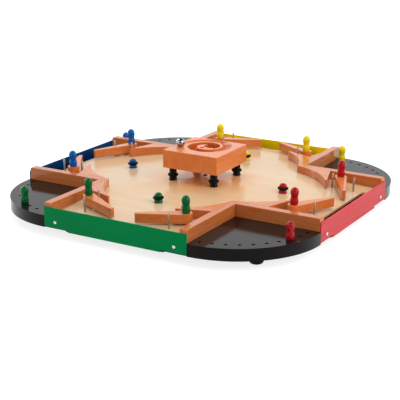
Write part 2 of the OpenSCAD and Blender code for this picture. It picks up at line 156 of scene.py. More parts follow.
def level(piece):
    """Keeps the shading of large flat faces flat, so that only their rounded edges turn the light."""
    only(piece)
    weighted = piece.modifiers.new("Flat faces", "WEIGHTED_NORMAL")
    weighted.keep_sharp = True
    weighted.weight = 100
    bpy.ops.object.modifier_apply(modifier=weighted.name)


def rounded(piece, width, segments, angle):
    """Rounds the edges of a piece where its faces turn by more than the angle, in degrees."""
    only(piece)
    bevel = piece.modifiers.new("Rounded edges", "BEVEL")
    bevel.width = width
    bevel.segments = segments
    bevel.limit_method = "ANGLE"
    bevel.angle_limit = math.radians(angle)
    bpy.ops.object.modifier_apply(modifier=bevel.name)


def merged_copy(node, name):
    """A copy of a CAD node's solid, its loose triangles merged into clean faces."""
    piece = bpy.data.objects.new(name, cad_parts[node].data.copy())
    bpy.context.scene.collection.objects.link(piece)
    piece.data.materials.clear()
    edit(piece)
    bpy.ops.mesh.customdata_custom_splitnormals_clear()
    bpy.ops.mesh.remove_doubles(threshold=WELD)
    bpy.ops.mesh.dissolve_limited(angle_limit=math.radians(0.4))
    bpy.ops.mesh.normals_make_consistent(inside=False)
    leave()
    return piece


def worked_copy(node, name, arris, segments=3, angle=40):
    """A copy of a CAD node's solid with rounded edges between flat faces."""
    piece = merged_copy(node, name)
    rounded(piece, arris, segments, angle)
    smooth(piece, 50)
    level(piece)
    return piece


def turned(name, outline, segments=48):
    """A turned piece, drawn on ring by ring along an outline of (radius, height) in millimetres."""
    points = [(radius * MM, height * MM) for radius, height in outline]
    radius, height = points[0]
    only()
    bpy.ops.mesh.primitive_circle_add(
        vertices=segments, radius=radius, fill_type="NGON", location=(0, 0, height))
    piece = bpy.context.object
    piece.name = name
    only(piece)
    bpy.ops.object.transform_apply(location=True, rotation=True, scale=True)
    edit(piece)
    for next_radius, next_height in points[1:]:
        bpy.ops.mesh.extrude_region_move(TRANSFORM_OT_translate={"value": (0, 0, next_height - height)})
        factor = next_radius / radius
        bpy.ops.transform.resize(value=(factor, factor, 1), center_override=(0, 0, next_height))
        radius, height = next_radius, next_height
    bpy.ops.mesh.select_all(action="SELECT")
    bpy.ops.mesh.normals_make_consistent(inside=False)
    leave()
    smooth(piece)
    return piece


def dome(radius, base, rise, angles):
    """Outline of a domed end from its rim upwards, in millimetres, one point for each angle."""
    return [(radius * math.cos(math.radians(a)), base + rise * math.sin(math.radians(a))) for a in angles]


def ease(start, end, share):
    """A value on a wave from start to end, its slope level at both."""
    return start + (end - start) * (1 - math.cos(math.pi * share)) / 2


def swell(start, end, steps):
    """Outline points that ease from one (radius, height) to another."""
    shares = [i / steps for i in range(1, steps + 1)]
    return [(ease(start[0], end[0], t), start[1] + (end[1] - start[1]) * t) for t in shares]


def rubber_ring(sizes):
    """A rubber ring of round section, its mould line shown as a fine flash round the outside."""
    half = sizes.ring_thickness / 2
    middle = sizes.ring_inside / 2 + half
    edge = middle + half
    flash = 0.12 * MM
    only()
    bpy.ops.mesh.primitive_torus_add(
        major_radius=middle, minor_radius=half, major_segments=56, minor_segments=20)
    piece = bpy.context.object
    pick(piece, "vertices", lambda point: math.hypot(point.co.x, point.co.y) > edge - 2 * WELD)
    grow = (edge + flash) / edge
    bpy.ops.transform.resize(value=(grow, grow, 1), center_override=(0, 0, 0))
    leave()
    smooth(piece, 60)
    return piece


def cut_cross(piece, top, span, width, depth):
    """Sinks a tapered cross recess into a screw head; all sizes in millimetres."""
    top, span, width, depth = [size * MM for size in (top, span, width, depth)]
    for turn in (0, math.pi / 2):
        only()
        bpy.ops.mesh.primitive_cube_add(size=1, location=(0, 0, top), rotation=(0, 0, turn))
        cutter = bpy.context.object
        cutter.scale = (span, width, 2 * depth)
        only(cutter)
        bpy.ops.object.transform_apply(location=True, rotation=True, scale=True)
        pick(cutter, "vertices", lambda point: point.co.z < top)
        bpy.ops.transform.resize(value=(0.5, 0.5, 1), center_override=(0, 0, top - depth))
        leave()
        only(piece)
        cut = piece.modifiers.new("Cross recess", "BOOLEAN")
        cut.operation = "DIFFERENCE"
        cut.object = cutter
        cut.solver = "EXACT"
        bpy.ops.object.modifier_apply(modifier=cut.name)
        put_away(cutter)


def set_down(pattern, name, place, body, material, node):
    """Copies a modelled pattern to its place on the game and lets it ride there."""
    only(pattern)
    bpy.ops.object.duplicate(linked=False)
    piece = bpy.context.object
    piece.name = name
    piece.matrix_world = place
    bpy.ops.object.transform_apply(location=True, rotation=True, scale=False)
    finish_piece(piece, body, material, node)


def finish_piece(piece, body, material, node):
    """Gives a piece its material and its body, and hides the CAD node that it stands for."""
    piece.data.materials.clear()
    piece.data.materials.append(material)
    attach(piece, body)
    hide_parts(node)


def put_away(pattern):
    bpy.data.objects.remove(pattern, do_unlink=True)


def paint_node(node, material):
    """Gives a CAD node that stays its material."""
    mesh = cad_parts[node].data
    mesh.materials.clear()
    mesh.materials.append(material)


# Places

def flanks():
    """Both sides of every player in turn: number, colour, side, and its direction along the player's X."""
    for k, colour in enumerate(COLOURS):
        for side, way in (("left", -1), ("right", 1)):
            yield k, colour, side, way


def player(k):
    """Turns a place drawn for the player at -Y to player k."""
    return Matrix.Rotation(math.radians(90 * k), 4, "Z")


def on_face(k, offset, distance, height=0.0):
    """A place on player k's sloped face, its Z square to the face."""
    face = Matrix.Translation((0, 0, APEX)) @ Matrix.Rotation(SLOPE, 4, "X")
    return player(k) @ face @ Matrix.Translation((offset, -distance, height))


def bar_turn(way):
    """The angle from the player's X to a bar at rest."""
    return math.pi + REST_ANGLE if way > 0 else -REST_ANGLE


def at_pivot(k, way):
    """A flipper's pivot, its X along the bar towards the tip."""
    return on_face(k, way * PIVOT_OFFSET, PIVOT_DISTANCE) @ Matrix.Rotation(bar_turn(way), 4, "Z")


def at_score_hole(k, i):
    """The i-th score hole in the corner at player k's left."""
    angle = math.radians(SCORE_FIRST + SCORE_STEP * i)
    x = -PANEL_LENGTH / 2 - SCORE_RADIUS * math.sin(angle)
    y = -PANEL_LENGTH / 2 - SCORE_RADIUS * math.cos(angle)
    return player(k) @ Matrix.Translation((x, y, BASE_TOP))


def at_corners(distance, height):
    """Four places round the middle, one towards each black corner."""
    return [Matrix.Translation((x * distance, y * distance, height)) for x in (-1, 1) for y in (-1, 1)]


# Colours

def linear(hex_colour):
    """A #rrggbb colour as linear red, green, blue and alpha."""
    channels = [int(hex_colour[i:i + 2], 16) / 255 for i in (1, 3, 5)]
    return [c / 12.92 if c <= 0.04045 else ((c + 0.055) / 1.055) ** 2.4 for c in channels] + [1.0]


def grey(value):
    return [value] * 3 + [1.0]


def shade(colour, factor):
    """A linear colour made lighter or darker."""
    return [min(1.0, c * factor) for c in colour[:3]] + [1.0]


def look(name):
    """One of the game's colours, as linear red, green, blue and alpha."""
    return list(getattr(bpy.context.scene.pinball_looks, name)) + [1.0]


# Tints that quieten the gloss of a surface seen face on and leave it whole at a grazing view
WARM_GLOSS = (0.4, 0.3, 0.24, 1.0)
WEAK_GLOSS = (0.3, 0.3, 0.3, 1.0)

# The legs' lacquer, and the painted shade inside the track, which darkens the wood and makes its tone redder
LEG_BLACK = grey(0.003)
TRACK_SHADE = (0.85, 0.6, 0.5, 1.0)

# Where a beech piece lies in its trunk: how far the trunk's middle is off, across the grain
TRUNK = Vector((0, 0.055, -0.19))


# Materials

class Nodes:
    """A node tree, with short calls for the nodes that the finishes share."""

    def __init__(self, tree):
        self.tree = tree

    def feed(self, socket, value):
        """Links another node's socket to this one, or sets this one to a plain value."""
        if isinstance(value, bpy.types.NodeSocket):
            self.tree.links.new(value, socket)
        else:
            socket.default_value = value

    def node(self, kind, inputs=None, **settings):
        made = self.tree.nodes.new(kind)
        for name, value in settings.items():
            setattr(made, name, value)
        for name, value in (inputs or {}).items():
            self.feed(made.inputs[name], value)
        return made

    def place(self, scale=(1, 1, 1), turn=0.0, shift=(0, 0, 0)):
        """Object coordinates turned about Z, then moved and then stretched for one pattern."""
        lined_up = self.node("ShaderNodeMapping", {
            "Vector": self.node("ShaderNodeTexCoord").outputs["Object"],
            "Location": shift, "Rotation": (0, 0, -turn)})
        return self.node("ShaderNodeMapping", {
            "Vector": lined_up.outputs["Vector"], "Scale": scale}).outputs["Vector"]

    def noise(self, vector, scale=1.0, detail=3.0, roughness=0.5, distortion=0.0):
        return self.node("ShaderNodeTexNoise", {
            "Vector": vector, "Scale": scale, "Detail": detail,
            "Roughness": roughness, "Distortion": distortion}).outputs["Fac"]

    def ramp(self, factor, *stops):
        """A colour ramp between two stops, each a position and a colour."""
        made = self.node("ShaderNodeValToRGB", {"Fac": factor})
        for element, (position, colour) in zip(made.color_ramp.elements, stops):
            element.position = position
            element.color = colour
        return made.outputs["Color"]

    def band(self, factor, low, high, out_low=0.0, out_high=1.0):
        """Stretches the part of a pattern from low to high over another range, and holds it there."""
        return self.node("ShaderNodeMapRange", {
            "Value": factor, "From Min": low, "From Max": high,
            "To Min": out_low, "To Max": out_high}).outputs["Result"]

    def mix(self, factor, a, b, blend="MIX"):
        made = self.node("ShaderNodeMix", {0: factor, 6: a, 7: b}, data_type="RGBA", blend_type=blend)
        return made.outputs[2]

    def combine(self, operation, a, b):
        """Two numbers combined: MULTIPLY, MAXIMUM and so on."""
        return self.node("ShaderNodeMath", {0: a, 1: b}, operation=operation).outputs[0]


class Shader(Nodes):
    """A new material; its keywords are the surface's own settings, an underscore standing for a space."""

    def __init__(self, name, **sockets):
        self.material = bpy.data.materials.new(name)
        self.material.use_nodes = True
        super().__init__(self.material.node_tree)
        self.surface = self.tree.nodes["Principled BSDF"].inputs
        for socket, value in sockets.items():
            self.surface[socket.replace("_", " ")].default_value = value

    def colour(self, value):
        self.feed(self.surface["Base Color"], value)

    def roughness(self, value):
        self.feed(self.surface["Roughness"], value)

    def bump(self, height, strength, distance=0.2 * MM):
        made = self.node("ShaderNodeBump", {
            "Height": height, "Strength": strength, "Distance": distance})
        self.feed(self.surface["Normal"], made.outputs["Normal"])


def beech(name, turn, seed, tone=1.0, ring_share=0.16, hollow_shade=None):
    """Varnished beech whose grain runs along a piece: growth rings, streaks, fibres and short flecks.

    The seed says which part of the trunk a piece is cut from, so that no two pieces look alike.
    """
    # The tone makes lighter and darker copies of the one beech: painted light and shade, darker on the rails
    # and lighter on the block
    light = shade(look("beech_light"), tone)
    dark = shade(look("beech_dark"), tone)
    made = Shader(name, IOR=1.45, Specular_Tint=WARM_GLOSS, Coat_Weight=0.5, Coat_Roughness=0.12)
    shift = Vector((0.137 * seed, 0.0291 * (seed % 7) - 0.04, 0.0173 * (seed % 5)))
    streaks = made.noise(made.place((5, 95, 95), turn, shift), detail=4)
    fibres = made.noise(made.place((24, 620, 620), turn, shift), detail=2)
    flecks = made.noise(made.place((170, 900, 900), turn, shift), detail=1)
    warp = made.noise(made.place((4, 22, 22), turn, shift), detail=2)
    sideways = made.node("ShaderNodeCombineXYZ", {"Y": made.combine("MULTIPLY", warp, 22 * MM)})
    warped = made.node("ShaderNodeVectorMath", {
        0: made.place(turn=turn, shift=shift + TRUNK), 1: sideways.outputs["Vector"]})
    rings = made.node("ShaderNodeTexWave", {
        "Vector": warped.outputs["Vector"], "Scale": 34.0, "Distortion": 2.4,
        "Detail": 2.0, "Detail Scale": 1.5}, wave_type="RINGS", rings_direction="X").outputs["Fac"]
    grain = made.mix(0.42, made.mix(ring_share, streaks, rings), fibres)
    fleck = made.band(flecks, 0.64, 0.74, 0.0, 0.4)
    wood = made.mix(fleck, made.ramp(grain, (0.16, dark), (0.84, light)), shade(dark, 0.62))
    # Painted shade in the track: the wood is darkened and reddened below the rim
    if hollow_shade:
        wood = made.mix(in_the_track(made), wood, hollow_shade, "MULTIPLY")
    made.colour(wood)
    made.roughness(made.band(fibres, 0.3, 0.7, 0.2, 0.3))
    made.bump(made.mix(0.5, fibres, flecks), 0.12)
    return made.material


def distance_from_middle(made):
    """The distance from the game's upright middle line, in metres."""
    coordinates = made.node("ShaderNodeTexCoord").outputs["Object"]
    flat = made.node("ShaderNodeVectorMath", {0: coordinates, 1: (1, 1, 0)}, operation="MULTIPLY")
    return made.node("ShaderNodeVectorMath", {0: flat.outputs["Vector"]}, operation="LENGTH").outputs["Value"]


def in_the_track(made):
    """The mask of the track's painted shade: 1 inside the block's round track, rising over the first
    millimetres below its rim.
    """
    coordinates = made.node("ShaderNodeTexCoord").outputs["Object"]
    height = made.node("ShaderNodeSeparateXYZ", {"Vector": coordinates}).outputs["Z"]
    below_rim = made.band(height, BLOCK_TOP - 0.4 * MM, BLOCK_TOP - 4 * MM)
    within_rim = made.band(distance_from_middle(made), 62 * MM, 60 * MM)
    return made.combine("MULTIPLY", below_rim, within_rim)


def maple(name):
    """The playing board's pale veneer under clear varnish: quiet grain and clouds, and painted bounce light,
    a golden glow round the middle.
    """
    gold = look("maple_gold")
    made = Shader(name, IOR=1.45, Specular_Tint=WARM_GLOSS, Coat_Weight=0.25, Coat_Roughness=0.1)
    grain = made.noise(made.place((3, 46, 46)), detail=5, roughness=0.55, distortion=0.4)
    fibres = made.noise(made.place((14, 420, 420)), detail=2)
    clouds = made.noise(made.place((4, 6, 6), 0.3), detail=2)
    veneer = made.ramp(made.mix(0.4, grain, fibres), (0.0, gold), (0.6, look("maple_light")))
    clouded = made.mix(made.band(clouds, 0.42, 0.68, 0.0, 0.45), veneer, gold)
    # Painted bounce light: the board turns golden round the block, as if lit by the block's orange underside,
    # fading out between 45 and 125 mm from the middle
    middle = made.band(distance_from_middle(made), 45 * MM, 125 * MM, 0.8, 0.0)
    made.colour(made.mix(middle, clouded, look("maple_bounce_light")))
    made.roughness(made.band(fibres, 0.3, 0.7, 0.16, 0.24))
    made.bump(fibres, 0.03)
    return made.material


def black_paint(name):
    """Black satin paint with a fine orange peel and paler, rubbed places."""
    black = look("black")
    made = Shader(name, IOR=1.32, Specular_Tint=WEAK_GLOSS)
    peel = made.noise(made.place(), scale=700, detail=2)
    rubbed = made.noise(made.place(), scale=14, detail=4)
    made.colour(made.ramp(rubbed, (0.35, black), (0.75, shade(black, 1.5))))
    made.roughness(made.band(rubbed, 0.3, 0.7, 0.09, 0.15))
    made.bump(peel, 0.06, 0.1 * MM)
    return made.material


def panel_paint(name, colour):
    """Satin paint on sheet metal: an even coat with a fine peel and faint handling marks."""
    made = Shader(name, IOR=1.4, Specular_Tint=shade(colour, 0.6))
    peel = made.noise(made.place(), scale=520, detail=2)
    cloud = made.noise(made.place(), scale=9, detail=4)
    marks = made.noise(made.place((12, 12, 240)))
    made.colour(made.ramp(cloud, (0.3, shade(colour, 0.93)), (0.7, shade(colour, 1.05))))
    made.roughness(made.band(marks, 0.35, 0.7, 0.37, 0.5))
    made.bump(peel, 0.05, 0.1 * MM)
    return made.material


def lacquer(name, colour):
    """Gloss lacquer on turned wood: the grain below shows as faint streaks and a soft waviness."""
    made = Shader(
        name, IOR=1.25, Specular_Tint=WEAK_GLOSS, Coat_Weight=0.8, Coat_IOR=1.26, Coat_Roughness=0.08)
    streaks = made.noise(made.place((260, 260, 30)))
    waves = made.noise(made.place(), scale=190, detail=2)
    made.colour(made.ramp(streaks, (0.3, shade(colour, 0.88)), (0.7, shade(colour, 1.06))))
    made.roughness(made.band(waves, 0.3, 0.7, 0.2, 0.3))
    made.bump(waves, 0.05, 0.3 * MM)
    return made.material


def rubber(name):
    """Dull black rubber with a dusty bloom."""
    made = Shader(name, IOR=1.4, Specular_Tint=WEAK_GLOSS)
    bloom = made.noise(made.place(), scale=160, detail=4)
    made.colour(made.ramp(bloom, (0.35, grey(0.003)), (0.75, grey(0.009))))
    made.roughness(made.band(bloom, 0.3, 0.7, 0.52, 0.72))
    made.bump(bloom, 0.12)
    return made.material


def steel(name, roughness=0.4, tone="#c6c0b8"):
    """Bright steel with fine drawn marks."""
    made = Shader(name, Metallic=1.0)
    marks = made.noise(made.place((900, 900, 60)), detail=2)
    tint = linear(tone)
    made.colour(made.ramp(marks, (0.3, shade(tint, 0.82)), (0.7, tint)))
    made.roughness(made.band(marks, 0.3, 0.7, roughness * 0.8, roughness * 1.4))
    return made.material


def zinc(name):
    """The brighter plate of the panel screws."""
    return steel(name, 0.12, "#e2e3e4")


def polished_ball(name):
    """The ball's mirror polish with the faintest swirl of use."""
    made = Shader(name, Metallic=1.0)
    swirl = made.noise(made.place(), scale=420, distortion=2.0)
    made.colour(made.ramp(swirl, (0.3, linear("#a2a3a6")), (0.7, linear("#b2b3b6"))))
    made.roughness(made.band(swirl, 0.45, 0.75, 0.02, 0.07))
    return made.material


def nylon(name):
    """Pale nylon of the washers, slightly mottled."""
    made = Shader(name, Roughness=0.45, Subsurface_Weight=0.15, Subsurface_Scale=1 * MM)
    mottle = made.noise(made.place(), scale=240)
    made.colour(made.ramp(mottle, (0.3, linear("#ddd2bd")), (0.7, linear("#efe6d4"))))
    made.bump(mottle, 0.05)
    return made.material


def hardboard(name):
    """Black hardboard of the plates below the drain slots."""
    made = Shader(name, Roughness=0.7)
    fibres = made.noise(made.place((60, 60, 60)), scale=8, detail=5)
    made.colour(made.ramp(fibres, (0.3, (0.010, 0.009, 0.009, 1.0)), (0.7, (0.026, 0.024, 0.023, 1.0))))
    made.bump(fibres, 0.2)
    return made.material


def black_steel(name):
    """Black oxide of the middle screw."""
    made = Shader(name, Roughness=0.35, Metallic=0.8)
    wear = made.noise(made.place(), scale=600)
    made.colour(made.ramp(wear, (0.35, (0.012, 0.012, 0.013, 1.0)), (0.8, (0.05, 0.05, 0.052, 1.0))))
    return made.material


PLAIN_FINISHES = {
    "maple": maple, "black": black_paint, "rubber": rubber, "steel": steel, "zinc": zinc,
    "ball": polished_ball, "nylon": nylon, "hardboard": hardboard, "oxide": black_steel,
}
finishes_made = {}


def finish(name):
    """A finish by name, made the first time it is asked for; "lacquer" and "panel" name a colour too."""
    if name in finishes_made:
        return finishes_made[name]
    kind, _, colour = name.partition(" ")
    if kind == "lacquer":
        made = lacquer(name, LEG_BLACK if colour == "black" else look(colour))
    elif kind == "panel":
        made = panel_paint(name, look(f"{colour}_panel"))
    else:
        made = PLAIN_FINISHES[kind](name)
    finishes_made[name] = made
    return made


# Sizes and looks that a user would change

def length(name, description, default):
    return FloatProperty(name=name, description=description, default=default, unit="LENGTH", min=0.0)


def paint(name, description, hex_colour):
    return FloatVectorProperty(
        name=name, description=description, subtype="COLOR", size=3, min=0.0, max=1.0,
        default=linear(hex_colour)[:3])


def power(name, description, default):
    return FloatProperty(name=name, description=description, default=default, unit="POWER", min=0.0)


def position(name, description, default):
    return FloatVectorProperty(
        name=name, description=description, subtype="XYZ", unit="LENGTH", default=default)


class PinballSizes(bpy.types.PropertyGroup):
    """Sizes of the details that the pieces get here."""

    arris: length("Wood arris", "Radius of the rounded edges of rails, wedges and bars", 0.8 * MM)
    block_arris: length("Block arris", "Radius of the centre block's outer edges", 1.4 * MM)
    board_arris: length("Board arris", "Radius of the base board's edges", 2 * MM)
    panel_edge: length("Panel edge", "Radius of the side panels' edges", 0.35 * MM)
    peg_height: length("Peg height", "Height of a peg or knob", 34.2 * MM)
    ring_thickness: length("Ring thickness", "Thickness of a rubber ring", 5.5 * MM)
    ring_inside: length("Ring inside", "Inside diameter of a rubber ring", 11 * MM)
    turned_segments: IntProperty(
        name="Turned segments", description="Facets round a turned piece", default=48, min=12, max=128)


class PinballLooks(bpy.types.PropertyGroup):
    """Colours of the game."""

    green: paint("Green", "Lacquer of the green pegs and knobs", "#00602a")
    red: paint("Red", "Lacquer of the red pegs and knobs", "#a80d18")
    yellow: paint("Yellow", "Lacquer of the yellow pegs and knobs", "#e2c814")
    blue: paint("Blue", "Lacquer of the blue pegs and knobs", "#0056a0")
    green_panel: paint("Green panel", "Paint of the green side panel", "#008447")
    red_panel: paint("Red panel", "Paint of the red side panel", "#cd3439")
    yellow_panel: paint("Yellow panel", "Paint of the yellow side panel", "#f4d000")
    blue_panel: paint("Blue panel", "Paint of the blue side panel", "#003c72")
    beech_light: paint("Beech", "Lighter tone of the beech", "#e18547")
    beech_dark: paint("Beech grain", "Darker tone of the beech", "#bd622e")
    maple_light: paint("Board", "Lighter tone of the playing board", "#d5bb99")
    maple_gold: paint("Board grain", "Golden tone of the playing board", "#cfa068")
    # Painted bounce light, not the board's own colour: the golden glow on the board round the block
    maple_bounce_light: paint("Board middle", "Tone of the playing board below the block", "#f0a050")
    black: paint("Black", "Paint of the base board", "#120f0e")


class PinballStage(bpy.types.PropertyGroup):
    """Light, floor and camera of the picture."""

    key_power: power("Key light", "Power of the overhead lamp", 24.0)
    side_power: power("Side light", "Power of the lamp at the right", 20.0)
    front_power: power("Front light", "Power of the lamp in front", 4.5)
    sky: FloatProperty(
        name="Surroundings", description="Strength of the soft light from all round", default=0.69)
    floor: FloatProperty(
        name="Floor", description="Share of the light that the floor gives back", default=0.42)
    floor_glow: FloatProperty(
        name="Floor glow", description="White that the floor adds to it where it is seen", default=0.8)
    lens: FloatProperty(
        name="Lens", description="Focal length of the camera", default=98.05, unit="CAMERA")
    camera_place: position("Camera place", "Where the camera stands", (1.1063, -1.9015, 0.7028))
    camera_aim: position("Camera aim", "What the camera looks at", (-0.0036, -0.0148, 0.0112))
    camera_roll: FloatProperty(
        name="Camera roll", description="How far the camera leans over", subtype="ANGLE", default=0.0020)


# Pieces

class PINBALL_OT_base(bpy.types.Operator):
    """The black base board with its score holes, and what is fixed below it"""

    bl_idname = "pinball.base"
    bl_label = "Base board and feet"

    def execute(self, context):
        sizes = context.scene.pinball_sizes
        board = worked_copy("base_board", "base_board_painted", sizes.board_arris, 4, 80)
        finish_piece(board, "table", finish("black"), "base_board")
        foot = hollow_foot(sizes.turned_segments)
        for i, place in enumerate(at_corners(FOOT_PLACE, 0)):
            set_down(foot, f"rubber_foot_{i + 1}", place, "table", finish("rubber"), "feet")
        put_away(foot)
        paint_node("foot_screws", finish("steel"))
        paint_node("drain_plates", finish("hardboard"))
        return {"FINISHED"}


def hollow_foot(segments):
    """A bulging rubber foot with a hollow below, in which its screw sits."""
    foot = turned("foot", [
        (9.1, 0), (10, 0.25), (11.3, 0.9), (12.5, 2), (13.5, 4), (14.1, 6.5), (14.45, 9.5),
        (14.5, 12), (14.5, 19), (14.2, 19.5),
    ], segments)
    wall = 4 * MM
    depth = 6 * MM
    pick(foot, "polygons", lambda face: face.center.z < 2 * WELD and face.normal.z < DOWNWARD)
    bpy.ops.mesh.inset(thickness=wall, depth=0)
    bpy.ops.mesh.extrude_region_move(TRANSFORM_OT_translate={"value": (0, 0, depth)})
    leave()
    smooth(foot, 45)
    return foot


class PINBALL_OT_playfield(bpy.types.Operator):
    """The pale playing board with its four sloped faces and drain slots"""

    bl_idname = "pinball.playfield"
    bl_label = "Playing board"

    def execute(self, context):
        paint_node("playfield_board", finish("maple"))
        return {"FINISHED"}


class PINBALL_OT_panels(bpy.types.Operator):
    """The four coloured side panels and their cross-head screws"""

    bl_idname = "pinball.panels"
    bl_label = "Side panels"

    def execute(self, context):
        sizes = context.scene.pinball_sizes
        for colour in COLOURS:
            node = f"panel_{colour}"
            panel = worked_copy(node, f"side_panel_{colour}", sizes.panel_edge, 2, 50)
            finish_piece(panel, "table", finish(f"panel {colour}"), node)
        screw = pan_head_screw()
        for k, colour, side, way in flanks():
            place = player(k) @ Matrix.Translation((way * SCREW_OFFSET, -HALF_WIDTH, SCREW_HEIGHT))
            place = place @ Matrix.Rotation(math.radians(90), 4, "X")
            driven_home = math.radians(20 + 47 * k + 31 * way)
            place = place @ Matrix.Rotation(driven_home, 4, "Z")
            set_down(screw, f"panel_screw_{colour}_{side}", place, "table",
                     finish("zinc"), "panel_screws")
        put_away(screw)
        return {"FINISHED"}


def pan_head_screw():
    """A pan-head screw along Z, its head up, with a cross recess sunk into it."""
    screw = turned("panel_screw", [
        (0.5, -16), (1.75, -13), (1.75, 0), (3.4, 0), (3.5, 0.25), (3.4, 0.9), (3.05, 1.5),
        (2.4, 1.95), (1.5, 2.15), (0.6, 2.2),
    ], 32)
    cut_cross(screw, top=2.2, span=3.9, width=0.9, depth=1.5)
    smooth(screw)
    return screw


class PINBALL_OT_rails(bpy.types.Operator):
    """The eight beech rails that fence off the corners"""

    bl_idname = "pinball.rails"
    bl_label = "Rails"

    def execute(self, context):
        for k, colour, side, way in flanks():
            node = f"rail_{colour}_{side}"
            rail = worked_copy(node, f"{node}_wood", context.scene.pinball_sizes.arris)
            along = math.radians(90 * (k + 1))
            # Painted shade: the rails get a darker copy of the beech
            grain = beech(f"beech rail {colour} {side}", along, seed=3 * k + (way > 0) + 1, tone=0.84)
            finish_piece(rail, "table", grain, node)
        return {"FINISHED"}


class PINBALL_OT_wedges(bpy.types.Operator):
    """The eight beech wedges with their round faces towards the ball"""

    bl_idname = "pinball.wedges"
    bl_label = "Wedges"

    def execute(self, context):
        for k, colour, side, way in flanks():
            node = f"wedge_{colour}_{side}"
            wedge = worked_copy(node, f"{node}_wood", context.scene.pinball_sizes.arris)
            along = math.radians(90 * k + WEDGE_LEAN * way)
            grain = beech(f"beech wedge {colour} {side}", along, seed=5 * k + (way > 0) + 40, tone=0.95)
            finish_piece(wedge, "table", grain, node)
        return {"FINISHED"}


class PINBALL_OT_flippers(bpy.types.Operator):
    """The eight flipper bars on their pins and washers"""

    bl_idname = "pinball.flippers"
    bl_label = "Flippers"

    def execute(self, context):
        for k, colour, side, way in flanks():
            node = f"flipper_{colour}_{side}"
            bar = worked_copy(node, f"{node}_bar", context.scene.pinball_sizes.arris, 3, 50)
            along = math.radians(90 * k) + bar_turn(way)
            grain = beech(f"beech flipper {colour} {side}", along, seed=7 * k + 3 * (way > 0) + 80)
            finish_piece(bar, node, grain, node)
        paint_node("pivot_pins", finish("steel"))
        paint_node("pivot_washers", finish("nylon"))
        return {"FINISHED"}


class PINBALL_OT_stop_pins(bpy.types.Operator):
    """The steel pins that stop the flippers"""

    bl_idname = "pinball.stop_pins"
    bl_label = "Stop pins"

    def execute(self, context):
        pin = turned("stop_pin", [
            (1.5, -14), (2, -13.5), (2, 29.2), (1.9, 29.6), (1.6, 29.88), (1.1, 30),
        ], 32)
        for k, colour, side, way in flanks():
            for end, nearer in (("back", -STOP_APART), ("front", STOP_APART)):
                place = on_face(k, way * (PIVOT_OFFSET + STOP_OUT), PIVOT_DISTANCE + nearer)
                set_down(pin, f"stop_pin_{colour}_{side}_{end}", place, "table",
                         finish("steel"), "stop_pins")
        put_away(pin)
        return {"FINISHED"}


class PINBALL_OT_pegs(bpy.types.Operator):
    """The turned score pegs and the matching knobs on the flippers"""

    bl_idname = "pinball.pegs"
    bl_label = "Pegs and knobs"

    def execute(self, context):
        sizes = context.scene.pinball_sizes
        peg = turned("peg", PEG_STEM + peg_outline(sizes.peg_height / MM), sizes.turned_segments)
        for k, colour in enumerate(COLOURS):
            set_down(peg, f"score_peg_{colour}", at_score_hole(k, PEG_HOLES[k]), f"peg_{colour}",
                     finish(f"lacquer {colour}"), f"peg_{colour}")
        for k, colour, side, way in flanks():
            place = at_pivot(k, way) @ Matrix.Translation((-KNOB_ARM, 0, BAR_TOP))
            set_down(peg, f"flipper_knob_{colour}_{side}", place, f"flipper_{colour}_{side}",
                     finish(f"lacquer {colour}"), f"knob_{colour}_{side}")
        put_away(peg)
        return {"FINISHED"}


def peg_outline(height):
    """Foot, body, waist and round head of a turned peg; all sizes in millimetres."""
    foot = (7.6, 0.018 * height)
    body_start = (8.2, 0.15 * height)
    body_end = (8.2, 0.25 * height)
    waist = (6.9, 0.43 * height)
    head = (8.25, 0.71 * height)
    outline = [(6.7, 0), (7.25, 0.004 * height), foot, *swell(foot, body_start, 4), body_end]
    outline += swell(body_end, waist, 8) + swell(waist, head, 8)
    outline += dome(*head, height - head[1], range(9, 90, 9))
    return outline + [(0.5, height)]


class PINBALL_OT_bumpers(bpy.types.Operator):
    """The four turned bumpers with their rubber rings"""

    bl_idname = "pinball.bumpers"
    bl_label = "Bumpers"

    def execute(self, context):
        sizes = context.scene.pinball_sizes
        groove = sizes.ring_inside / 2 / MM
        bumper = turned("bumper", DOWEL + [
            (8.2, 0), (8.6, 0.35), (8.75, 1.1), (8.6, 2.2), (8.05, 3.5), (7.3, 5), (6.9, 6.2), (6.6, 6.55),
            (groove, 6.55), (groove, 12.25), (6.9, 12.25), (7.25, 12.6), (7.45, 13.3),
        ] + dome(7.5, 14.85, 5.15, range(0, 85, 9)) + [(0.4, 20)], sizes.turned_segments)
        band = rubber_ring(sizes)
        for k, colour in enumerate(COLOURS):
            set_down(bumper, f"bumper_{colour}_turned", on_face(k, 0, BUMPER_DISTANCE), "table",
                     finish(f"lacquer {colour}"), f"bumper_{colour}")
            set_down(band, f"bumper_ring_{colour}", on_face(k, 0, BUMPER_DISTANCE, RING_ON_BUMPER), "table",
                     finish("rubber"), "bumper_rings")
        put_away(bumper)
        put_away(band)
        return {"FINISHED"}


